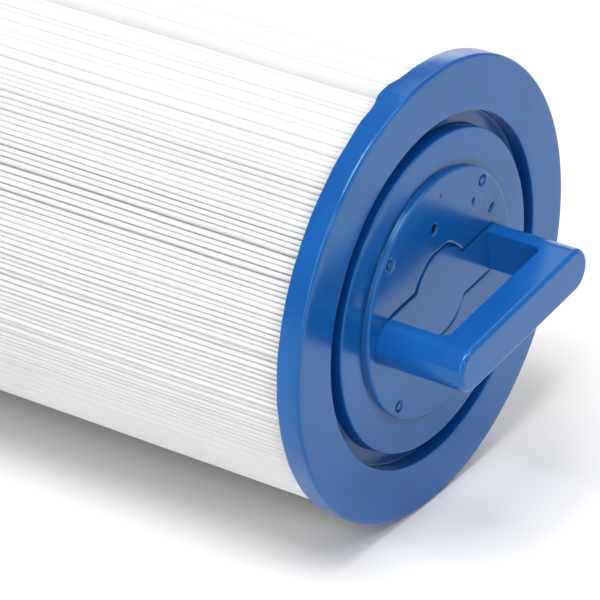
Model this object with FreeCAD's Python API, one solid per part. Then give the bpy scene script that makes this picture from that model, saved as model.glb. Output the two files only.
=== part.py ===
import FreeCAD, Part
import math
import os

# Pleated filter cartridge for a spa or small pool, lying on its side.
# Frame: +X runs along the cartridge's axis from the open bottom end to the handle, +Z is up.
# Origin: on the axis, in the outer face of the bottom end cap, at the mouth of the standpipe bore.
# All sizes are in millimetres.

V = FreeCAD.Vector
ORIGIN = V(0, 0, 0)
AXIS = V(1, 0, 0)

# --- whole cartridge ---
BODY_LENGTH = 254.0        # over the two end caps, handle not counted
CAP_R = 67.0               # outer radius of both end caps
CAP_DEPTH = 7.0            # axial depth of the rim of an end cap
CAP_ROUND = 1.1            # rounding of the caps' outer rims
POTTING_DEPTH = 1.0        # how far the pleats and the core sit inside a cap
POTTING_OUTER_R = 65.6     # outer wall of the annular recess that holds the pleat ends

# --- top end cap ---
GROOVE_OUTER_R = 51.2      # moat between the outer ring and the inner disc
GROOVE_INNER_R = 46.5
GROOVE_DEPTH = 4.8
DISC_R = 36.0              # raised disc around the handle
DISC_RISE = 1.8
DISC_ROUND = 0.9
LIP_ROUND = 0.45

# --- bottom end cap ---
BORE_R = 27.0              # slides over a standpipe of about 2 1/8 in
BORE_LENGTH = 14.0
COLLAR_R = 33.5            # outside of the soft collar that reaches into the core
PAN_INNER_R = 37.0         # shallow recess in the bottom face
PAN_OUTER_R = 59.0
PAN_DEPTH = 1.5

# --- core ---
CORE_R = 37.5
CORE_BORE_R = 35.0
PLUG_FLANGE = 2.0
PLUG_DEPTH = 8.0
PLUG_WALL = 2.2
PLUG_GAP = 0.1
WINDOWS_AROUND = 12
WINDOW_ROWS = 15
WINDOW_WIDTH = 11.0
WINDOW_LENGTH = 10.0
WINDOW_PITCH = 15.0
WINDOW_REACH = 2.0         # how far a window's cutter passes the tube's wall, each way

# --- pleated media ---
PLEATS = 250
PLEAT_OUTER_R = 65.1
PLEAT_INNER_R = 38.5
SHEET = 0.40               # thickness of the filter cloth
SEAM_ANGLE = 102.5         # where the two ends of the cloth meet, in degrees from +Y towards +Z
SEAM_GAP = 4.0             # angle left free of pleats there, in degrees
SEAM_WIDTH = 2.0
SEAM_OUTER_R = 62.4
SEAM_INNER_R = 58.0

# --- handle ---
HANDLE_ROLL = 6.8          # turn of the handle about the axis, in degrees
HANDLE_LENGTH = 65.0
HANDLE_WIDTH = 13.0
HANDLE_RISE = 29.0         # above the outer ring of the cap
HANDLE_ROUND = 1.4
GRIP_DEPTH = 9.6
FINGER_GAP = 48.0          # clear length between the legs
GAP_ROUND = 2.6
GAP_EDGE_ROUND = 0.7
BASE_RISE = 2.0            # top of the base bar and boss, above the outer ring
BOSS_R = 13.0
BOSS_OFFSET = 0.4
SHRINK_WIDTH = 0.5         # resin has shrunk away from the base bar and boss by this much
SHRINK_DEPTH = 0.5
PLATE_R = 34.5             # base plate, cast into the cap
PLATE_TOP = -0.8
PLATE_BOTTOM = -3.3
KEY_HOLE_R = 3.0           # resin flows through these and locks the plate
KEY_HOLE_CIRCLE = 24.0
PEG_R = 0.9                # pegs that hold the plate off the mould
PEG_CIRCLE = 33.0
PEG_TOP = 1.7
QUARTERS = (45, 135, 225, 315)

CAP_FACE = BODY_LENGTH                         # plane of the top cap's outer ring
CAP_BACK = BODY_LENGTH - CAP_DEPTH
SEAT = CAP_DEPTH - POTTING_DEPTH               # pleats and core start here at the bottom
PLEAT_LENGTH = BODY_LENGTH - 2 * SEAT
CORE_TOP = CAP_BACK - PLUG_FLANGE


def lathe(profile):
    """A solid of revolution about the axis, from (x, radius) corners."""
    corners = [V(x, 0, r) for x, r in profile]
    face = Part.Face(Part.makePolygon(corners + corners[:1]))
    return face.revolve(ORIGIN, AXIS, 360)


def disc(radius, low, high):
    return Part.makeCylinder(radius, high - low, V(low, 0, 0), AXIS)


def round_rims(shape, rims, radius):
    """Round the circular edges that lie at the given (x, radius) places."""
    edges = []
    for edge in shape.Edges:
        if not isinstance(edge.Curve, Part.Circle):
            continue
        for x, r in rims:
            if abs(edge.Curve.Radius - r) < 1e-4 and abs(edge.Curve.Center.x - x) < 1e-4:
                edges.append(edge)
    return shape.makeFillet(radius, edges)


def polar(x, radius, angle):
    """A point at an angle in degrees from +Y towards +Z."""
    a = math.radians(angle)
    return V(x, radius * math.cos(a), radius * math.sin(a))


def stadium(length, width, low, high):
    """A prism along the axis whose section is a bar with round ends, long in Y."""
    half = (length - width) / 2
    r = width / 2
    right = Part.Arc(V(low, half, -r), V(low, half + r, 0), V(low, half, r)).toShape()
    top = Part.makeLine(V(low, half, r), V(low, -half, r))
    left = Part.Arc(V(low, -half, r), V(low, -half - r, 0), V(low, -half, -r)).toShape()
    bottom = Part.makeLine(V(low, -half, -r), V(low, half, -r))
    return Part.Face(Part.Wire([right, top, left, bottom])).extrude(V(high - low, 0, 0))


def make_handle():
    """Moulded insert: grip, two legs, base bar with a round boss, base plate and four pegs."""
    top = CAP_FACE + HANDLE_RISE
    base = CAP_FACE + BASE_RISE
    plate_top = CAP_FACE + PLATE_TOP
    bar = stadium(HANDLE_LENGTH, HANDLE_WIDTH, plate_top, top)
    front = [e for e in bar.Edges if all(abs(v.X - top) < 1e-6 for v in e.Vertexes)]
    bar = bar.makeFillet(HANDLE_ROUND, front)

    gap_height = HANDLE_RISE - GRIP_DEPTH - BASE_RISE
    gap = Part.makeBox(gap_height, FINGER_GAP, 2 * HANDLE_WIDTH, V(base, -FINGER_GAP / 2, -HANDLE_WIDTH))
    gap_top = base + gap_height
    corners = []
    for edge in gap.Edges:
        ends = edge.Vertexes
        if abs(ends[0].Z - ends[1].Z) > HANDLE_WIDTH and abs(ends[0].X - gap_top) < 1e-6:
            corners.append(edge)
    bar = bar.cut(gap.makeFillet(GAP_ROUND, corners))

    rims = []
    for edge in bar.Edges:
        box = edge.BoundBox
        flat = box.ZLength < 1e-6 and abs(abs(box.ZMin) - HANDLE_WIDTH / 2) < 1e-6
        inside = abs(box.YMin) < FINGER_GAP / 2 + 1e-4 and abs(box.YMax) < FINGER_GAP / 2 + 1e-4
        if flat and inside and base - 1e-4 < box.XMin and box.XMax < gap_top + 1e-4:
            if box.XLength > 1e-4 or box.XMin > base + 1.0:
                rims.append(edge)
    bar = bar.makeFillet(GAP_EDGE_ROUND, rims)

    boss = Part.makeCylinder(BOSS_R, base - plate_top, V(plate_top, 0, BOSS_OFFSET), AXIS)
    plate = disc(PLATE_R, CAP_FACE + PLATE_BOTTOM, plate_top)
    for angle in QUARTERS:
        hole = Part.makeCylinder(KEY_HOLE_R, CAP_DEPTH, polar(CAP_BACK, KEY_HOLE_CIRCLE, angle), AXIS)
        plate = plate.cut(hole)
    handle = bar.fuse(boss).fuse(plate)
    for angle in QUARTERS:
        peg = Part.makeCylinder(PEG_R, PEG_TOP - PLATE_TOP, polar(plate_top, PEG_CIRCLE, angle), AXIS)
        handle = handle.fuse(peg)
    handle = handle.removeSplitter()
    handle.rotate(ORIGIN, AXIS, HANDLE_ROLL)
    return handle


def make_top_cap(handle):
    """Cast cap: outer ring, moat and raised disc, with the handle's foot cast in."""
    floor = CAP_FACE - GROOVE_DEPTH
    seat = CAP_BACK + POTTING_DEPTH
    disc_face = CAP_FACE + DISC_RISE
    cap = lathe([
        (CAP_BACK, 0),
        (CAP_BACK, CORE_R),
        (seat, CORE_R),
        (seat, POTTING_OUTER_R),
        (CAP_BACK, POTTING_OUTER_R),
        (CAP_BACK, CAP_R),
        (CAP_FACE, CAP_R),
        (CAP_FACE, GROOVE_OUTER_R),
        (floor, GROOVE_OUTER_R),
        (floor, GROOVE_INNER_R),
        (CAP_FACE, GROOVE_INNER_R),
        (CAP_FACE, DISC_R),
        (disc_face, DISC_R),
        (disc_face, 0),
    ])
    cap = round_rims(cap, [(CAP_FACE, CAP_R)], CAP_ROUND)
    cap = round_rims(cap, [(disc_face, DISC_R)], DISC_ROUND)
    cap = round_rims(cap, [(CAP_FACE, GROOVE_OUTER_R), (CAP_FACE, GROOVE_INNER_R)], LIP_ROUND)

    bottom = disc_face - SHRINK_DEPTH
    top = disc_face + SHRINK_DEPTH
    wider = 2 * SHRINK_WIDTH
    gap = stadium(HANDLE_LENGTH + wider, HANDLE_WIDTH + wider, bottom, top)
    gap = gap.fuse(Part.makeCylinder(BOSS_R + SHRINK_WIDTH, top - bottom, V(bottom, 0, BOSS_OFFSET), AXIS))
    gap.rotate(ORIGIN, AXIS, HANDLE_ROLL)
    return cap.cut(gap).cut(handle)


def make_bottom_cap():
    """Cast cap with a soft bore for the standpipe and a shallow recess left by the mould."""
    cap = lathe([
        (0, BORE_R),
        (0, PAN_INNER_R),
        (PAN_DEPTH, PAN_INNER_R),
        (PAN_DEPTH, PAN_OUTER_R),
        (0, PAN_OUTER_R),
        (0, CAP_R),
        (CAP_DEPTH, CAP_R),
        (CAP_DEPTH, POTTING_OUTER_R),
        (SEAT, POTTING_OUTER_R),
        (SEAT, COLLAR_R),
        (BORE_LENGTH, COLLAR_R),
        (BORE_LENGTH, BORE_R),
    ])
    cap = round_rims(cap, [(0, CAP_R)], CAP_ROUND)
    return round_rims(cap, [(0, PAN_INNER_R), (0, PAN_OUTER_R), (BORE_LENGTH, COLLAR_R)], LIP_ROUND)


def make_core():
    """Moulded tube with rows of windows; it keeps the pleats from collapsing inwards."""
    tube = disc(CORE_R, SEAT, CORE_TOP).cut(disc(CORE_BORE_R, SEAT, CORE_TOP))
    first = (SEAT + CORE_TOP - (WINDOW_ROWS - 1) * WINDOW_PITCH - WINDOW_LENGTH) / 2
    cut_depth = CORE_R - CORE_BORE_R + 2 * WINDOW_REACH
    cutters = []
    for row in range(WINDOW_ROWS):
        for k in range(WINDOWS_AROUND):
            corner = V(first + row * WINDOW_PITCH, -WINDOW_WIDTH / 2, CORE_BORE_R - WINDOW_REACH)
            window = Part.makeBox(WINDOW_LENGTH, WINDOW_WIDTH, cut_depth, corner)
            window.rotate(ORIGIN, AXIS, 360 * k / WINDOWS_AROUND)
            cutters.append(window)
    return tube.cut(Part.makeCompound(cutters))


def make_core_plug():
    """Cup that closes the top of the core, so that no resin runs in when the cap is cast."""
    spigot = CORE_BORE_R - PLUG_GAP
    end = CORE_TOP - PLUG_DEPTH
    return lathe([
        (CAP_BACK, 0),
        (CAP_BACK, CORE_R),
        (CORE_TOP, CORE_R),
        (CORE_TOP, spigot),
        (end, spigot),
        (end, spigot - PLUG_WALL),
        (CORE_TOP, spigot - PLUG_WALL),
        (CORE_TOP, 0),
    ])


def pleat_angles():
    """The angles of the pleats' outer folds; the seam is a wider space between two of them."""
    pitch = (360.0 - SEAM_GAP) / (PLEATS - 1)
    return [SEAM_ANGLE + SEAM_GAP / 2 + k * pitch for k in range(PLEATS)]


def make_media():
    """One folded cloth: its outer and inner outlines are a cloth's thickness apart."""
    tip = math.degrees(SHEET / PLEAT_OUTER_R)
    root = math.degrees(SHEET / PLEAT_INNER_R)
    outside = []
    inside = []
    angles = pleat_angles()
    for angle, following in zip(angles, angles[1:] + [angles[0] + 360]):
        valley = (angle + following) / 2
        outside.append(polar(SEAT, PLEAT_OUTER_R, angle - tip))
        outside.append(polar(SEAT, PLEAT_OUTER_R, angle + tip))
        outside.append(polar(SEAT, PLEAT_INNER_R + SHEET, valley))
        inside.append(polar(SEAT, PLEAT_OUTER_R - SHEET, angle))
        inside.append(polar(SEAT, PLEAT_INNER_R, valley - root))
        inside.append(polar(SEAT, PLEAT_INNER_R, valley + root))
    outer_wire = Part.makePolygon(outside + outside[:1])
    inner_wire = Part.makePolygon(inside + inside[:1])
    section = Part.makeFace([outer_wire, inner_wire], "Part::FaceMakerBullseye")
    return section.extrude(V(PLEAT_LENGTH, 0, 0))


def make_seam():
    """Strip that joins the two ends of the cloth, set down between two pleats."""
    strip = Part.makeBox(
        BODY_LENGTH - 2 * CAP_DEPTH,
        SEAM_WIDTH,
        SEAM_OUTER_R - SEAM_INNER_R,
        V(CAP_DEPTH, -SEAM_WIDTH / 2, SEAM_INNER_R),
    )
    strip.rotate(ORIGIN, AXIS, SEAM_ANGLE - 90)
    return strip


def export(shape, node):
    solids = shape.Solids
    assert len(solids) == 1 and solids[0].isValid(), node
    solids[0].exportStep("parts/" + node + ".step")
    box = solids[0].BoundBox
    print(f"{node:16s} {solids[0].Volume / 1000:8.2f} cm3  x {box.XMin:.1f} to {box.XMax:.1f}")


os.makedirs("parts", exist_ok=True)
handle = make_handle()
export(handle, "handle")
export(make_top_cap(handle), "top_end_cap")
export(make_bottom_cap(), "bottom_end_cap")
export(make_core(), "core_tube")
export(make_core_plug(), "core_plug")
export(make_media(), "pleated_media")
export(make_seam(), "media_seam")
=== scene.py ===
import math

import bmesh
import bpy
import numpy as np
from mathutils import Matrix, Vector


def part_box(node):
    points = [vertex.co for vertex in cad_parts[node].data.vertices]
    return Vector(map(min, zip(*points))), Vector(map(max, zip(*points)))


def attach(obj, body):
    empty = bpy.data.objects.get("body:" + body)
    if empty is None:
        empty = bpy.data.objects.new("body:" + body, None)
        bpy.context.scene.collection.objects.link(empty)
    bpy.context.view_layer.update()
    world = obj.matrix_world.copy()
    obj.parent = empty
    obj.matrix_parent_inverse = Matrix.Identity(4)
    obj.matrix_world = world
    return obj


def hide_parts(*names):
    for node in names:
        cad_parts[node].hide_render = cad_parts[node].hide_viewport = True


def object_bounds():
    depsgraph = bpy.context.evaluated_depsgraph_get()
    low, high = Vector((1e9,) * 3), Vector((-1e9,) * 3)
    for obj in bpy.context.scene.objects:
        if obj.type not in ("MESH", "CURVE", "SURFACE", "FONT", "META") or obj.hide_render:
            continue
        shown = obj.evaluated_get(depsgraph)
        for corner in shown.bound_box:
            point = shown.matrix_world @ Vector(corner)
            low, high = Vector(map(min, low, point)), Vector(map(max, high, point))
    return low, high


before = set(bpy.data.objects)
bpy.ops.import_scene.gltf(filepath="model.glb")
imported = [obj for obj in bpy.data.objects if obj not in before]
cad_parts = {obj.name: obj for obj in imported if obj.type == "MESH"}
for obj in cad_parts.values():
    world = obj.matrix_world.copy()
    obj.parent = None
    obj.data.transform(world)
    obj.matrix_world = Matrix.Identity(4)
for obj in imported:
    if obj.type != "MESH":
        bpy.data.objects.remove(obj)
cad_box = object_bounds()

MM = 0.001
rng = np.random.default_rng(7)

# --- places and sizes from the frame ---
TOP_LOW, TOP_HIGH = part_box("top_end_cap")
BOTTOM_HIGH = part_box("bottom_end_cap")[1]
MEDIA_LOW, MEDIA_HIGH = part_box("pleated_media")
SEAM_LOW, SEAM_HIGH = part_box("media_seam")

CAP_R = 67.0 * MM
CAP_DEPTH = 7.0 * MM
CAP_BACK = TOP_LOW.x
CAP_FACE = CAP_BACK + CAP_DEPTH
FLOOR_Z = cad_box[0].z

# --- the top cap's profile ---
GROOVE_OUTER_R = 51.2 * MM
GROOVE_INNER_R = 46.5 * MM
GROOVE_DEPTH = 4.8 * MM
DISC_R = 36.0 * MM
DISC_RISE = TOP_HIGH.x - CAP_FACE
HANDLE_ROLL = 6.8          # degrees

# --- the bottom cap's profile ---
BORE_R = 27.0 * MM
COLLAR_R = 33.5 * MM
PAN_INNER_R = 37.0 * MM
PAN_OUTER_R = 59.0 * MM
PAN_DEPTH = 1.5 * MM

# --- pleats ---
PLEATS = 250
PLEAT_OUTER_R = 65.1 * MM
PLEAT_INNER_R = 38.5 * MM
CLOTH = 0.40 * MM
SEAM_ANGLE = 102.5         # degrees from +Y towards +Z
SEAM_GAP = 4.0
STATIONS = 35


def smooth_noise(length, knots, spread=1.0):
    """A smooth random curve of that many samples through evenly spaced random knots."""
    values = rng.normal(0.0, spread, knots + 3)
    at = np.linspace(0, knots, length)
    i = np.floor(at).astype(int)
    t = at - i
    t = t * t * (3 - 2 * t)
    return values[i] * (1 - t) + values[i + 1] * t


def mesh_object(name, verts, faces, material, smooth=True):
    mesh = bpy.data.meshes.new(name)
    mesh.from_pydata([tuple(v) for v in verts], [], faces)
    mesh.validate()
    mesh.update()
    if smooth:
        mesh.shade_smooth()
    mesh.materials.append(material)
    obj = bpy.data.objects.new(name, mesh)
    bpy.context.scene.collection.objects.link(obj)
    return obj


# ---------------------------------------------------------------- materials

def new_material(name):
    material = bpy.data.materials.new(name)
    material.use_nodes = True
    nodes = material.node_tree.nodes
    links = material.node_tree.links
    return material, nodes, links, nodes["Principled BSDF"]


def noise_node(nodes, links, scale, detail=3.0, roughness=0.5, stretch=(1, 1, 1)):
    coords = nodes.new("ShaderNodeTexCoord")
    mapping = nodes.new("ShaderNodeMapping")
    mapping.inputs["Scale"].default_value = stretch
    noise = nodes.new("ShaderNodeTexNoise")
    noise.inputs["Scale"].default_value = scale
    noise.inputs["Detail"].default_value = detail
    noise.inputs["Roughness"].default_value = roughness
    links.new(coords.outputs["Object"], mapping.inputs["Vector"])
    links.new(mapping.outputs["Vector"], noise.inputs["Vector"])
    return noise


def ramp_node(nodes, links, source, stops):
    ramp = nodes.new("ShaderNodeValToRGB")
    elements = ramp.color_ramp.elements
    while len(elements) < len(stops):
        elements.new(0.5)
    for element, (position, colour) in zip(elements, stops):
        element.position = position
        element.color = (*colour, 1)
    links.new(source, ramp.inputs["Fac"])
    return ramp


def bump_node(nodes, links, height, strength, distance, after=None):
    bump = nodes.new("ShaderNodeBump")
    bump.inputs["Strength"].default_value = strength
    bump.inputs["Distance"].default_value = distance
    links.new(height, bump.inputs["Height"])
    if after is not None:
        links.new(after.outputs["Normal"], bump.inputs["Normal"])
    return bump


def mottle_roughness(nodes, links, shader, scale, low, high):
    """Roughness that wanders between two values."""
    gloss = noise_node(nodes, links, scale, 3, 0.6)
    rough = nodes.new("ShaderNodeMapRange")
    rough.inputs["To Min"].default_value = low
    rough.inputs["To Max"].default_value = high
    links.new(gloss.outputs["Fac"], rough.inputs["Value"])
    links.new(rough.outputs["Result"], shader.inputs["Roughness"])


def make_resin():
    """Glossy cast resin: deep blue, with faint swirls of colour and a soft orange peel, and painted shade in
    its hollows.
    """
    material, nodes, links, shader = new_material("cast_resin")
    swirl = noise_node(nodes, links, 38, 4, 0.6, (2.5, 1, 1))
    ramp = ramp_node(nodes, links, swirl.outputs["Fac"], [
        (0.30, (0.0030, 0.070, 0.286)),
        (0.55, (0.0038, 0.078, 0.313)),
        (0.75, (0.0050, 0.088, 0.344)),
    ])
    # painted shade: a per-point attribute mixes the colour towards near-black blue in the pits, the gap
    # round the handle's foot, the groove and the disc's foot, where shade falls
    painted_shade = nodes.new("ShaderNodeAttribute")
    painted_shade.attribute_name = "painted_shade"
    painted_shade_mix = nodes.new("ShaderNodeMix")
    painted_shade_mix.data_type = "RGBA"
    painted_shade_mix.inputs["B"].default_value = (0.0004, 0.014, 0.070, 1)
    links.new(painted_shade.outputs["Fac"], painted_shade_mix.inputs["Factor"])
    links.new(ramp.outputs["Color"], painted_shade_mix.inputs["A"])
    links.new(painted_shade_mix.outputs["Result"], shader.inputs["Base Color"])
    mottle_roughness(nodes, links, shader, 130, 0.14, 0.24)
    peel = noise_node(nodes, links, 260, 2, 0.5)
    wave = noise_node(nodes, links, 45, 2, 0.4)
    first = bump_node(nodes, links, wave.outputs["Fac"], 0.10, 0.002)
    second = bump_node(nodes, links, peel.outputs["Fac"], 0.05, 0.0004, first)
    # the rim's side, but not the faces, shows fine streaks along the axis, left by the mould's wall
    streaks = noise_node(nodes, links, 1100, 2, 0.6, (0.06, 1, 1))
    third = bump_node(nodes, links, streaks.outputs["Fac"], 1.0, 0.0002, second)
    facing = nodes.new("ShaderNodeNewGeometry")
    axes = nodes.new("ShaderNodeSeparateXYZ")
    across = nodes.new("ShaderNodeMath")
    across.operation = "ABSOLUTE"
    share = nodes.new("ShaderNodeMapRange")
    share.inputs["To Min"].default_value = 0.45
    share.inputs["To Max"].default_value = 0.0
    share.inputs["From Max"].default_value = 0.6
    links.new(facing.outputs["True Normal"], axes.inputs["Vector"])
    links.new(axes.outputs["X"], across.inputs[0])
    links.new(across.outputs["Value"], share.inputs["Value"])
    links.new(share.outputs["Result"], third.inputs["Strength"])
    links.new(third.outputs["Normal"], shader.inputs["Normal"])
    shader.inputs["IOR"].default_value = 1.52
    shader.inputs["Specular Tint"].default_value = (0.53, 1.0, 0.98, 1)
    return material


def make_moulding():
    """The handle's moulded plastic: a little brighter and smoother than the cast caps."""
    material, nodes, links, shader = new_material("moulded_handle")
    drift = noise_node(nodes, links, 30, 3, 0.5, (3, 1, 1))
    ramp = ramp_node(nodes, links, drift.outputs["Fac"], [
        (0.35, (0.0044, 0.080, 0.322)),
        (0.70, (0.0056, 0.091, 0.356)),
    ])
    links.new(ramp.outputs["Color"], shader.inputs["Base Color"])
    mottle_roughness(nodes, links, shader, 160, 0.13, 0.22)
    peel = noise_node(nodes, links, 320, 2, 0.5)
    bump = bump_node(nodes, links, peel.outputs["Fac"], 0.05, 0.0003)
    links.new(bump.outputs["Normal"], shader.inputs["Normal"])
    shader.inputs["IOR"].default_value = 1.52
    shader.inputs["Specular Tint"].default_value = (0.56, 1.0, 0.98, 1)
    return material


def make_cloth():
    """Spun-bonded filter cloth: matt white, with a fine felt of fibres."""
    material, nodes, links, shader = new_material("filter_cloth")
    blotch = noise_node(nodes, links, 55, 4, 0.6, (0.35, 1, 1))
    ramp = ramp_node(nodes, links, blotch.outputs["Fac"], [
        (0.30, (0.672, 0.680, 0.685)),
        (0.70, (0.716, 0.722, 0.724)),
    ])
    links.new(ramp.outputs["Color"], shader.inputs["Base Color"])
    shader.inputs["Roughness"].default_value = 0.85
    shader.inputs["Specular IOR Level"].default_value = 0.25
    shader.inputs["Sheen Weight"].default_value = 0.15
    fibre = noise_node(nodes, links, 1500, 3, 0.7, (0.5, 1, 1))
    bump = bump_node(nodes, links, fibre.outputs["Fac"], 0.25, 0.0002)
    links.new(bump.outputs["Normal"], shader.inputs["Normal"])
    return material


def make_seam_strip():
    """The welded strip along the cloth's seam: the same fibres pressed smooth, with painted shade of the
    seam's valley in its grey.
    """
    material, nodes, links, shader = new_material("seam_strip")
    drift = noise_node(nodes, links, 90, 3, 0.6, (0.3, 1, 1))
    # painted shade: the strip's grey stands in for the shade that falls in the valley along the seam
    ramp = ramp_node(nodes, links, drift.outputs["Fac"], [
        (0.30, (0.440, 0.485, 0.510)),
        (0.70, (0.500, 0.540, 0.560)),
    ])
    links.new(ramp.outputs["Color"], shader.inputs["Base Color"])
    shader.inputs["Roughness"].default_value = 0.65
    shader.inputs["Specular IOR Level"].default_value = 0.3
    fibre = noise_node(nodes, links, 1100, 3, 0.7, (0.5, 1, 1))
    bump = bump_node(nodes, links, fibre.outputs["Fac"], 0.15, 0.0002)
    links.new(bump.outputs["Normal"], shader.inputs["Normal"])
    return material


def make_core_plastic():
    """Satin off-white moulded plastic of the core and its plug."""
    material, nodes, links, shader = new_material("core_plastic")
    drift = noise_node(nodes, links, 40, 3, 0.5)
    ramp = ramp_node(nodes, links, drift.outputs["Fac"], [
        (0.35, (0.70, 0.70, 0.68)),
        (0.70, (0.78, 0.78, 0.76)),
    ])
    links.new(ramp.outputs["Color"], shader.inputs["Base Color"])
    shader.inputs["Roughness"].default_value = 0.4
    grain = noise_node(nodes, links, 700, 2, 0.6)
    bump = bump_node(nodes, links, grain.outputs["Fac"], 0.08, 0.0002)
    links.new(bump.outputs["Normal"], shader.inputs["Normal"])
    return material


RESIN = make_resin()
MOULDING = make_moulding()
CLOTH_MATERIAL = make_cloth()
SEAM_MATERIAL = make_seam_strip()
CORE_PLASTIC = make_core_plastic()


# ---------------------------------------------------------------- cast caps

def rounded(corners, steps=6):
    """(x, radius) points of a profile; each corner is (x, radius, rounding)."""
    points = []
    for i, (x, r, rounding) in enumerate(corners):
        here = np.array([x, r])
        if rounding <= 0 or i in (0, len(corners) - 1):
            points.append(here)
            continue
        before = np.array(corners[i - 1][:2]) - here
        after = np.array(corners[i + 1][:2]) - here
        before /= np.linalg.norm(before)
        after /= np.linalg.norm(after)
        for t in np.linspace(0, 1, steps + 1):
            a = here + before * rounding
            b = here + after * rounding
            points.append((1 - t) ** 2 * a + 2 * t * (1 - t) * here + t * t * b)
    return points


def refined(points, step_at):
    """The same profile with no span longer than step_at(radius)."""
    out = [points[0]]
    for a, b in zip(points, points[1:]):
        n = max(1, math.ceil(np.linalg.norm(b - a) / step_at(min(a[1], b[1]))))
        out += [a + (b - a) * k / n for k in range(1, n + 1)]
    return out


def lathe(name, profile, segments, material, shape):
    """A surface of revolution about X.

    shape(x, r, degrees) returns the moved x and r, and how much painted shade each point gets, as in a pit.
    """
    angles = np.linspace(0, 2 * math.pi, segments, endpoint=False)
    profile = np.array(profile)
    x = np.repeat(profile[:, :1], segments, axis=1)
    r = np.repeat(profile[:, 1:], segments, axis=1)
    x, r, painted_shade_amount = shape(x, r, np.broadcast_to(np.degrees(angles), x.shape))
    verts = np.stack([x, r * np.cos(angles), r * np.sin(angles)], axis=-1).reshape(-1, 3)
    faces = []
    for ring in range(len(profile) - 1):
        a, b = ring * segments, (ring + 1) * segments
        for k in range(segments):
            n = (k + 1) % segments
            faces.append((a + k, a + n, b + n, b + k))
    obj = mesh_object(name, verts, faces, material)
    # the painted shade of each point goes to the material as a point attribute
    painted_shade = obj.data.attributes.new("painted_shade", "FLOAT", "POINT")
    painted_shade.data.foreach_set("value", np.broadcast_to(painted_shade_amount, x.shape).ravel().astype(np.float32))
    merge_close(obj.data)
    return obj


def merge_close(mesh):
    """Join points that coincide, and turn all faces outwards."""
    work = bmesh.new()
    work.from_mesh(mesh)
    bmesh.ops.remove_doubles(work, verts=work.verts, dist=1e-7)
    bmesh.ops.recalc_face_normals(work, faces=work.faces)
    work.to_mesh(mesh)
    work.free()


def turn(degrees, centre):
    """Signed difference from an angle, in degrees."""
    return (degrees - centre + 180) % 360 - 180


def waves(degrees, count, lowest, highest, spread=1.0):
    """A smooth random wave round the axis, made of a few whole numbers of ripples."""
    total = np.zeros_like(degrees, dtype=float)
    for _ in range(count):
        ripples = rng.integers(lowest, highest + 1)
        phase = rng.uniform(0, 360)
        total += rng.normal() * np.cos(np.radians(degrees * ripples + phase))
    return total * spread / math.sqrt(count)


def offset_from(r, degrees, centre_r, centre_deg):
    """Y and Z of each point, measured from a centre given by its radius and angle."""
    y = r * np.cos(np.radians(degrees)) - centre_r * math.cos(math.radians(centre_deg))
    z = r * np.sin(np.radians(degrees)) - centre_r * math.sin(math.radians(centre_deg))
    return y, z


def dent(r, degrees, centre_r, centre_deg, radius, depth, stretch, tilt):
    """A small pit with a crisp edge, drawn out along tilt (degrees from +Y), as a depth at each point."""
    y, z = offset_from(r, degrees, centre_r, centre_deg)
    lean = math.radians(tilt)
    along = (y * math.cos(lean) + z * math.sin(lean)) / stretch
    aside = z * math.cos(lean) - y * math.sin(lean)
    return depth * np.exp(-((along * along + aside * aside) / (radius * radius)) ** 3)


def peg(r, degrees, centre_r, centre_deg):
    """The ring-shaped sink round a small moulded peg, as a depth at each point."""
    y, z = offset_from(r, degrees, centre_r, centre_deg)
    from_ring = (np.hypot(y, z) - PEG_SINK_R) / PEG_SINK_WIDTH
    return PEG_SINK_DEPTH * np.exp(-from_ring ** 2) - PEG_LIP * np.exp(-(from_ring - PEG_LIP_AT) ** 2)


# blow holes and drag marks in the raised disc, in millimetres and degrees:
# radius and angle of the centre, half width, depth, how much longer than wide, and which way
PITS = (
    (21.6, 99.4, 1.35, 2.20, 1.0, 0),
    (26.7, 53.5, 0.62, 1.00, 1.5, 85),
    (29.7, 31.3, 0.75, 1.20, 1.9, 38),
    (30.3, 92.0, 0.36, 0.50, 1.0, 0),
    (31.0, 37.0, 0.26, 0.10, 9.0, 58),
    (29.3, 42.5, 0.24, 0.08, 8.0, 62),
    (26.9, 60.5, 0.24, 0.07, 7.0, 95),
    (32.3, 35.0, 0.24, 0.08, 6.0, 75),
)
# the sinks round the pegs, in millimetres, with a raised lip outside each
PEG_ANGLES = (45, 135, 225, 315)
PEG_CIRCLE = 33.0
PEG_SINK_R = 1.20
PEG_SINK_WIDTH = 0.42
PEG_SINK_DEPTH = 0.85
PEG_LIP = 0.10
PEG_LIP_AT = 2.1           # in sink widths outside the ring

# --- the foot of the handle, and the gap that the resin leaves round it ---
HANDLE_LENGTH = 65.0 * MM
HANDLE_WIDTH = 13.0 * MM
BOSS_R = 13.0 * MM
BOSS_OFFSET = 0.4 * MM
SHRINK_WIDTH = 0.75 * MM
SHRINK_DEPTH = 0.75 * MM
GAP_FALL = 1.4             # how fast the gap closes away from the foot
GAP_AT_LEGS = 0.25         # share of the gap that is left round the legs
LEGS_FROM = 26 * MM        # distance from the axis at which the legs begin
LEGS_FADE = 3 * MM

# --- resin that ran back over a cap's inner edge; heights in mm, half widths in degrees ---
EDGE_BAND = 1.6 * MM       # how far in from the rim the edge is moved
TOP_RUN_REACH = 3.5 * MM
TOP_RUN = 1.45
TOP_RUN_HALF = 4.3
SIDE_RUN_ANGLE = 113.5
SIDE_RUN = 0.32
SIDE_RUN_HALF = 2.8
BOTTOM_RUN_FROM = 4 * MM
BOTTOM_RUN_REACH = 3 * MM
BOTTOM_RUN = 1.5
BOTTOM_RUN_HALF = 2.2

# --- painted shade in the hollows, from 0 to 1 ---
PIT_FULL_SHADE = 0.9        # depth in mm at which a pit is fully dark
GAP_PAINTED_SHADE = 0.75
GROOVE_PAINTED_SHADE = 0.20
GROOVE_SHADE_DEPTH = 2 * MM
DISC_FOOT_PAINTED_SHADE = 0.6
DISC_FOOT_SHADE_WIDTH = 0.6 * MM
DISC_FOOT_SHADE_HEIGHT = 0.9 * MM


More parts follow.
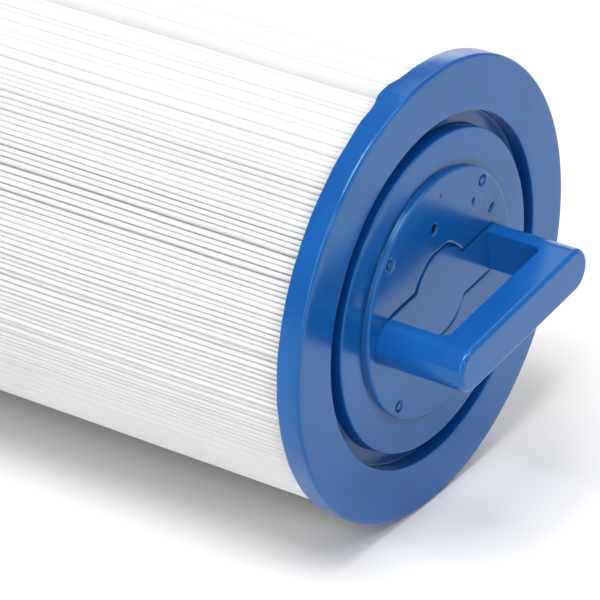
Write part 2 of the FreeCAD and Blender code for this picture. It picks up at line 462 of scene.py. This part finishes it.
def outside_handle(r, degrees):
    """Distance outside the outline of the handle's foot, a bar with a round boss."""
    angle = np.radians(degrees - HANDLE_ROLL)
    u, v = r * np.cos(angle), r * np.sin(angle)
    half = HANDLE_WIDTH / 2
    bar = np.hypot(np.maximum(abs(u) - (HANDLE_LENGTH / 2 - half), 0), v) - half
    boss = np.hypot(u, v - BOSS_OFFSET) - BOSS_R
    return np.minimum(bar, boss)


def top_run_back(degrees):
    """How far the resin has run back over the top cap's inner edge, in millimetres."""
    run_back = TOP_RUN * np.exp(-abs(turn(degrees, SEAM_ANGLE) / TOP_RUN_HALF) ** 3)
    run_back += SIDE_RUN * np.exp(-(turn(degrees, SIDE_RUN_ANGLE) / SIDE_RUN_HALF) ** 2)
    run_back += waves(degrees, 10, 8, 60, 0.06)
    return run_back


def disc_pits(r, degrees):
    """Depth of the blow holes, drag marks and peg sinks in the disc, in millimetres."""
    pits = np.zeros_like(r)
    for mark in PITS:
        pits += dent(r / MM, degrees, *mark)
    for angle in PEG_ANGLES:
        pits += peg(r / MM, degrees, PEG_CIRCLE, angle + HANDLE_ROLL)
    return pits


def foot_gap(r, degrees):
    """Depth of the gap where resin has shrunk away from the handle's foot, in millimetres."""
    width = SHRINK_WIDTH * (1 + 0.25 * waves(degrees, 6, 4, 15))
    away = np.maximum(outside_handle(r, degrees) / width - 0.2, 0)
    along = abs(r * np.cos(np.radians(degrees - HANDLE_ROLL)))
    between_legs = np.clip((LEGS_FROM - along) / LEGS_FADE, 0, 1)
    open_share = GAP_AT_LEGS + (1 - GAP_AT_LEGS) * between_legs
    return SHRINK_DEPTH / MM * np.exp(-GAP_FALL * away ** 2) * open_share


def top_painted_shade(x, r, on_disc, pits, gap):
    """Painted shade at each point of the top cap: in pits and gaps, in the groove and at the disc's foot."""
    gap_shade = GAP_PAINTED_SHADE * gap / (SHRINK_DEPTH / MM)
    painted_shade_amount = on_disc * np.clip(np.maximum(pits / PIT_FULL_SHADE, gap_shade), 0, 1)
    in_groove = (r < GROOVE_OUTER_R + 0.1 * MM) * (r > GROOVE_INNER_R - 0.1 * MM)
    painted_shade_amount = painted_shade_amount + in_groove * GROOVE_PAINTED_SHADE * np.clip((CAP_FACE - x) / GROOVE_SHADE_DEPTH, 0, 1)
    at_foot = (abs(r - DISC_R) < DISC_FOOT_SHADE_WIDTH) * (x > CAP_FACE - 0.01 * MM)
    return painted_shade_amount + at_foot * DISC_FOOT_PAINTED_SHADE * np.clip(1 - (x - CAP_FACE) / DISC_FOOT_SHADE_HEIGHT, 0, 1)


def shape_top(x, r, degrees):
    """Casting marks of the top cap: resin run back at the seam, wavy back edge, soft face, pits; and the
    painted shade in its hollows.
    """
    back = np.clip((CAP_BACK + TOP_RUN_REACH - x) / TOP_RUN_REACH, 0, 1) * (r > CAP_R - EDGE_BAND)
    moved_x = x - back * top_run_back(degrees) * MM
    rim = np.clip((r - GROOVE_OUTER_R) / (CAP_R - GROOVE_OUTER_R), 0, 1)
    front = x > CAP_FACE - 1 * MM
    moved_x = moved_x + front * rim * waves(degrees, 6, 2, 9, 0.035) * MM
    moved_x = moved_x + front * (1 - rim) * waves(degrees, 5, 1, 6, 0.02) * MM
    on_disc = x > CAP_FACE + DISC_RISE - 0.1 * MM
    pits = disc_pits(r, degrees)
    gap = foot_gap(r, degrees)
    moved_x = moved_x - on_disc * (pits + gap) * MM
    moved_r = r + (r > CAP_R - 1 * MM) * waves(degrees, 8, 3, 24, 0.03) * MM
    return moved_x, moved_r, top_painted_shade(x, r, on_disc, pits, gap)


def shape_bottom(x, r, degrees):
    """Casting marks of the bottom cap: a soft face, and resin run back at the seam."""
    front = x < 1 * MM
    moved_x = x + front * (r > PAN_INNER_R) * (0.06 + waves(degrees, 6, 2, 9, 0.02)) * MM
    back = np.clip((x - BOTTOM_RUN_FROM) / BOTTOM_RUN_REACH, 0, 1) * (r > CAP_R - EDGE_BAND)
    run_back = BOTTOM_RUN * np.exp(-(turn(degrees, SEAM_ANGLE) / BOTTOM_RUN_HALF) ** 2)
    run_back = run_back + waves(degrees, 10, 20, 90, 0.09)
    return moved_x + back * run_back * MM, r, np.zeros_like(x)


# how finely the caps are cut
TOP_SEGMENTS = 560
BOTTOM_SEGMENTS = 512
FINE_FROM = 11.0 * MM      # the top cap's fine rings start here, under the handle's edge
FINE_STEP = 0.34 * MM
MIDDLE_STEP = 3 * MM
RING_STEP = 2.5 * MM
BOTTOM_STEP = 1.5 * MM
RIM_ROUND = 1.1 * MM


def make_top_cap():
    floor = CAP_FACE - GROOVE_DEPTH
    face = CAP_FACE + DISC_RISE
    profile = rounded([
        (CAP_BACK, 0, 0),
        (CAP_BACK, CAP_R - 0.1 * MM, 0.35 * MM),
        (CAP_BACK + 2 * MM, CAP_R, 0.2 * MM),
        (CAP_FACE, CAP_R, RIM_ROUND),
        (CAP_FACE, GROOVE_OUTER_R, 0.45 * MM),
        (floor, GROOVE_OUTER_R, 0.5 * MM),
        (floor, GROOVE_INNER_R, 0.5 * MM),
        (CAP_FACE, GROOVE_INNER_R, 0.6 * MM),
        (CAP_FACE, DISC_R + 0.15 * MM, 0.25 * MM),
        (face, DISC_R - 0.1 * MM, 0.60 * MM),
        (face, 0, 0),
    ])

    def step_at(radius):
        if radius < FINE_FROM:
            return MIDDLE_STEP
        return FINE_STEP if radius < DISC_R - 0.5 * MM else RING_STEP

    # the disc's flat face is cut into bands, so that its pits get fine rings
    bands = profile[:-1] + [np.array([face, r]) for r in (26.0 * MM, FINE_FROM, 0.0)]
    return lathe("top_cap_casting", refined(bands, step_at), TOP_SEGMENTS, RESIN, shape_top)


def make_bottom_cap():
    profile = rounded([
        (BOTTOM_HIGH.x, BORE_R, 0),
        (0, BORE_R, 0.4 * MM),
        (0, PAN_INNER_R, 0.6 * MM),
        (PAN_DEPTH, PAN_INNER_R + 0.3 * MM, 0.5 * MM),
        (PAN_DEPTH, PAN_OUTER_R, 0.5 * MM),
        (0, PAN_OUTER_R + 0.3 * MM, 0.6 * MM),
        (0, CAP_R, RIM_ROUND),
        (CAP_DEPTH - 2 * MM, CAP_R, 0.2 * MM),
        (CAP_DEPTH, CAP_R - 0.1 * MM, 0.35 * MM),
        (CAP_DEPTH, COLLAR_R, 0),
        (BOTTOM_HIGH.x, COLLAR_R, 0.4 * MM),
        (BOTTOM_HIGH.x, BORE_R, 0),
    ])
    rings = refined(profile, lambda radius: BOTTOM_STEP)
    return lathe("bottom_cap_casting", rings, BOTTOM_SEGMENTS, RESIN, shape_bottom)


# ---------------------------------------------------------------- pleated cloth

# gaps that stand open: angle from +Y towards +Z, and how much wider, in pleat widths
OPEN_GAPS = (
    (119.8, 0.08), (124.6, 0.14), (135.5, 0.06), (139.4, 0.10), (149.2, 0.26),
    (155.0, 0.16), (177.0, 0.20), (60.0, 0.25), (22.0, 0.35), (205.0, 0.25),
    (250.0, 0.30), (290.0, 0.25), (318.0, 0.35), (345.0, 0.22),
)
# half of a pleat's outline below its tip: depth and half width in millimetres
TIP = ((0.10, 0.31), (0.46, 0.58))
# how deep below the tips two neighbours touch, and the stretches where they are pressed together:
# centre and half width in degrees, and the share of the depth taken away
TOUCH_DEPTH = 1.0 * MM
TOUCH_LEAST = 0.56 * MM
TOUCH_MOST = 1.7 * MM
TOUCH_DEEPEST = 3.4 * MM   # at the gaps that stand open
TOUCH_CLEAR = 0.012 * MM   # so that neighbours never share a point
PRESSED = (
    (118, 17, 0.52), (165, 5, 0.25), (184, 5, 0.20), (228, 12, 0.30),
    (283, 14, 0.45), (12, 12, 0.40), (62, 9, 0.45),
)
# a gap that stands open is cut deeper, by this much for each millimetre of extra half width
SNUG_HALF = 0.86 * MM
OPEN_DEEPER = 1.9
PROUD = 0.24 * MM          # how unevenly the folds stand up
TIP_CLEAR = 0.10 * MM      # the highest fold stays this far inside the CAD's radius
TIP_DIP = 0.22 * MM        # deepest dip along a fold's tip
FOLD_HOLLOW = 1.0 * MM     # from a fold's tip to the top of the hollow inside it
LEAN_SHARED = 25           # this many neighbours lean together
LEAN_DEGREES = 2.2
SEAM_EASE = 12             # the folds lean less over this many pleats beside the seam
OUTER_POINTS = 8
INNER_POINTS = 3


def pleat_angles():
    """The outer folds' angles in degrees, unevenly spaced, with a free space at the seam."""
    spacing = np.clip(1 + 0.10 * rng.normal(size=PLEATS - 1), 0.78, 1.25)
    total = 360.0 - SEAM_GAP
    first = SEAM_ANGLE + SEAM_GAP / 2
    rough = first + np.cumsum(spacing) / spacing.sum() * total
    for angle, wider in OPEN_GAPS:
        spacing[np.argmin(abs(turn(rough, angle)))] += wider
    return first + np.concatenate([[0], np.cumsum(spacing) / spacing.sum() * total])


def fold_centres():
    """Each fold's angle at each station: neighbours lean together, and each wanders a little alone."""
    angles = np.radians(pleat_angles())
    lean = np.array([smooth_noise(STATIONS, 3, 0.50) for _ in range(PLEATS + LEAN_SHARED - 1)])
    lean = np.array([lean[k:k + LEAN_SHARED].mean(0) * LEAN_DEGREES for k in range(PLEATS)])
    from_seam = np.minimum(np.arange(PLEATS), np.arange(PLEATS)[::-1])
    ease = np.clip(from_seam / SEAM_EASE, 0, 1)
    own = np.array([smooth_noise(STATIONS, 12, 0.06) for _ in range(PLEATS)])
    return angles[:, None] + np.radians(lean * ease[:, None] + own)


def fold_tops():
    """Each fold's tip radius at each station."""
    low = np.array([smooth_noise(STATIONS, 5, 0.07 * MM) for _ in range(PLEATS)])
    sunk = np.clip(abs(rng.normal(size=(PLEATS, 1))) * PROUD, 0, 2.2 * PROUD)
    return PLEAT_OUTER_R - TIP_CLEAR - sunk - np.clip(abs(low), 0, TIP_DIP)


def touch_depths(centre, valley):
    """How deep below its tip each fold meets the next one."""
    middle = STATIONS // 2
    gap_angle = np.degrees(valley[:, middle])
    pressed = sum(
        share * np.exp(-(turn(gap_angle, at_angle) / width) ** 2)
        for at_angle, width, share in PRESSED
    )
    vary = np.clip(1 + 0.20 * rng.normal(size=PLEATS), 0.5, 1.4)
    spare = np.maximum((valley - centre)[:, middle] * PLEAT_OUTER_R - SNUG_HALF, 0)
    touch = np.clip(TOUCH_DEPTH * vary * (1 - pressed), TOUCH_LEAST, TOUCH_MOST) + OPEN_DEEPER * spare
    return np.minimum(touch, TOUCH_DEEPEST)[:, None]


def media_faces():
    """Side faces of the outer and inner outlines, and the two ends."""
    n_out, n_in = OUTER_POINTS * PLEATS, INNER_POINTS * PLEATS
    ring = n_out + n_in
    faces = []
    for s in range(STATIONS - 1):
        a, b = s * ring, (s + 1) * ring
        for k in range(n_out):
            m = (k + 1) % n_out
            faces.append((a + k, a + m, b + m, b + k))
        for k in range(n_in):
            m = (k + 1) % n_in
            faces.append((a + n_out + m, a + n_out + k, b + n_out + k, b + n_out + m))
    for base, forward in ((0, True), ((STATIONS - 1) * ring, False)):
        for k in range(PLEATS):
            first = base + OUTER_POINTS * k
            before = base + (OUTER_POINTS * k - 1) % n_out
            inside = base + n_out + INNER_POINTS * k
            beyond = base + n_out + (INNER_POINTS * k + INNER_POINTS) % n_in
            pleat = [before, *range(first, first + OUTER_POINTS), inside + 2, inside + 1, inside]
            web = [first + OUTER_POINTS - 1, beyond, inside + 2]
            faces.append(pleat[::-1] if forward else pleat)
            faces.append(web[::-1] if forward else web)
    return faces


def make_media():
    lengthwise = np.linspace(MEDIA_LOW.x, MEDIA_HIGH.x, STATIONS)
    centre = fold_centres()
    top = fold_tops()
    after = np.roll(centre, -1, 0)
    after[-1] += 2 * math.pi
    valley = (centre + after) / 2
    before_valley = np.roll(valley, 1, 0)
    before_valley[0] -= 2 * math.pi
    root = 0.5 * CLOTH / PLEAT_INNER_R
    touch_after = touch_depths(centre, valley)
    touch_before = np.roll(touch_after, 1, 0)
    half_before = (centre - before_valley) * (top - touch_before) - TOUCH_CLEAR
    half_after = (valley - centre) * (top - touch_after) - TOUCH_CLEAR

    def at(depth, offset):
        return top - depth, centre + offset / top

    (d1, h1), (d2, h2) = TIP
    outer = [
        at(touch_before, -half_before), at(d2 * MM, -h2 * MM), at(d1 * MM, -h1 * MM), at(0.0, 0.0),
        at(d1 * MM, h1 * MM), at(d2 * MM, h2 * MM), at(touch_after, half_after),
        (np.full_like(top, PLEAT_INNER_R + CLOTH), valley),
    ]
    inner = [
        (np.full_like(top, PLEAT_INNER_R), before_valley + root),
        (top - FOLD_HOLLOW, centre),
        (np.full_like(top, PLEAT_INNER_R), valley - root),
    ]

    def ring_points(rows):
        r = np.stack([row[0] for row in rows], axis=1)
        a = np.stack([row[1] for row in rows], axis=1)
        xyz = np.stack([np.broadcast_to(lengthwise, r.shape), r * np.cos(a), r * np.sin(a)], axis=-1)
        return xyz.reshape(-1, STATIONS, 3)

    points = np.concatenate([ring_points(outer), ring_points(inner)], axis=0)
    verts = points.transpose(1, 0, 2).reshape(-1, 3)
    obj = mesh_object("folded_filter_cloth", verts, media_faces(), CLOTH_MATERIAL)
    return obj


# --- the strip along the cloth's seam ---
STRIP_HALF = 1.40 * MM
STRIP_TOP = 62.4 * MM
STRIP_FOOT = 58.2 * MM
STRIP_STATIONS = 241
WELD_PITCH = 6.0 * MM
WELD_DEPTH = 0.18 * MM


def make_seam():
    """The welded side seam of the cloth: a soft strip between two pleats, with a row of weld dashes."""
    along = np.linspace(SEAM_LOW.x, SEAM_HIGH.x, STRIP_STATIONS)
    shoulder, crown = STRIP_TOP - 0.5 * MM, STRIP_TOP - 0.1 * MM
    left = [(-1.0, STRIP_FOOT), (-1.0, shoulder), (-0.8, crown), (-0.35, STRIP_TOP)]
    right = [(-share, r) for share, r in reversed(left)]
    across = left + [(0.0, STRIP_TOP)] + right
    verts, faces = [], []
    for x in along:
        dash = 0.5 + 0.5 * math.cos(2 * math.pi * (x - SEAM_LOW.x) / WELD_PITCH)
        press = WELD_DEPTH * min(1.0, max(0.0, dash * 2.5 - 0.6))
        for share, r in across:
            a = math.radians(SEAM_ANGLE) + share * STRIP_HALF / r
            lowered = r - press * (abs(share) < 0.5)
            verts.append((x, lowered * math.cos(a), lowered * math.sin(a)))
    n = len(across)
    for i in range(len(along) - 1):
        for k in range(n):
            m = (k + 1) % n
            faces.append((i * n + k, i * n + m, (i + 1) * n + m, (i + 1) * n + k))
    faces.append(tuple(range(n))[::-1])
    faces.append(tuple((len(along) - 1) * n + k for k in range(n)))
    obj = mesh_object("cloth_side_seam", verts, faces, SEAM_MATERIAL)
    merge_close(obj.data)
    return obj


top_cap = make_top_cap()
bottom_cap = make_bottom_cap()
media = make_media()
seam = make_seam()

for piece, node, slot in (
    (top_cap, "top_end_cap", "cap_resin"),
    (bottom_cap, "bottom_end_cap", "cap_resin"),
    (media, "pleated_media", "filter_cloth"),
    (seam, "media_seam", "seam_strip"),
):
    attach(piece, "root")
    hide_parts(node)

for node, material in (
    ("handle", MOULDING),
    ("core_tube", CORE_PLASTIC),
    ("core_plug", CORE_PLASTIC),
):
    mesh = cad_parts[node].data
    mesh.materials.clear()
    mesh.materials.append(material)


# ---------------------------------------------------------------- floor, light and camera

FLOOR_HALF = 4.0


def make_floor():
    material, nodes, links, shader = new_material("pale_floor")
    drift = noise_node(nodes, links, 3, 2, 0.5)
    ramp = ramp_node(nodes, links, drift.outputs["Fac"], [
        (0.3, (0.79, 0.79, 0.79)),
        (0.7, (0.81, 0.81, 0.81)),
    ])
    links.new(ramp.outputs["Color"], shader.inputs["Base Color"])
    shader.inputs["Roughness"].default_value = 0.9
    shader.inputs["Specular IOR Level"].default_value = 0.1
    around = ((-1, -1), (1, -1), (1, 1), (-1, 1))
    corners = [(FLOOR_HALF * a, FLOOR_HALF * b, FLOOR_Z) for a, b in around]
    floor = mesh_object("floor", corners, [(0, 1, 2, 3)], material, smooth=False)


# softboxes: name, azimuth from -Y towards +X, elevation, half angle seen from the part (degrees), brightness
SOFTBOXES = (
    ("main_overhead", 0, 74, 14, 11.9),
    ("back_fill", 200, 50, 16, 1.1),
    ("front_fill", 4, 36, 16, 2.7),
    ("front_low", 14, 12, 14, 2.1),
    ("right_fill", 112, 54, 16, 3.2),
    ("back_card", 209, 9, 9, 1.6),
    ("low_left", 290, 8, 12, 3.0),
    ("rim_spark", 70, 24, 3.5, 27.0),
)
SOFTBOX_DISTANCE = 4.0
LIT_POINT = Vector((0.22, 0, 0))
SKY = 0.38


def direction(azimuth, elevation):
    a, e = math.radians(azimuth), math.radians(elevation)
    return Vector((math.sin(a) * math.cos(e), -math.cos(a) * math.cos(e), math.sin(e)))


def make_softbox(name, azimuth, elevation, half_angle, brightness):
    radius = SOFTBOX_DISTANCE * math.tan(math.radians(half_angle))
    data = bpy.data.lights.new(name, "AREA")
    data.shape = "DISK"
    data.size = 2 * radius
    data.energy = brightness * math.pi * math.pi * radius ** 2
    light = bpy.data.objects.new(name, data)
    towards = direction(azimuth, elevation)
    light.location = LIT_POINT + towards * SOFTBOX_DISTANCE
    light.rotation_euler = (-towards).to_track_quat("-Z", "Y").to_euler()
    bpy.context.scene.collection.objects.link(light)


def make_light():
    world = bpy.data.worlds.new("studio")
    world.use_nodes = True
    background = world.node_tree.nodes["Background"]
    background.inputs["Color"].default_value = (1.0, 1.0, 1.0, 1)
    background.inputs["Strength"].default_value = SKY
    bpy.context.scene.world = world
    for softbox in SOFTBOXES:
        make_softbox(*softbox)
    bpy.context.scene.view_settings.view_transform = "Standard"


# the camera: where it looks from (azimuth and elevation), its lens in mm, and its place from the cap's face,
# which is seen right of the middle of the picture
VIEW_AZIMUTH = 34.03
VIEW_ELEVATION = 29.07
LENS = 273.6
CAMERA_FROM_FACE = Vector((0.5795, -0.9242, 0.6034))


def make_camera():
    forward = -direction(VIEW_AZIMUTH, VIEW_ELEVATION)
    face_centre = Vector((CAP_FACE, 0, 0))
    data = bpy.data.cameras.new("camera")
    data.sensor_width = 36.0
    data.lens = LENS
    data.dof.use_dof = False
    camera = bpy.data.objects.new("camera", data)
    camera.location = face_centre + CAMERA_FROM_FACE
    camera.rotation_mode = "QUATERNION"
    camera.rotation_quaternion = forward.to_track_quat("-Z", "Y")
    data.clip_start = 0.05
    data.clip_end = 30
    bpy.context.scene.collection.objects.link(camera)
    bpy.context.scene.camera = camera


make_floor()
make_light()
make_camera()
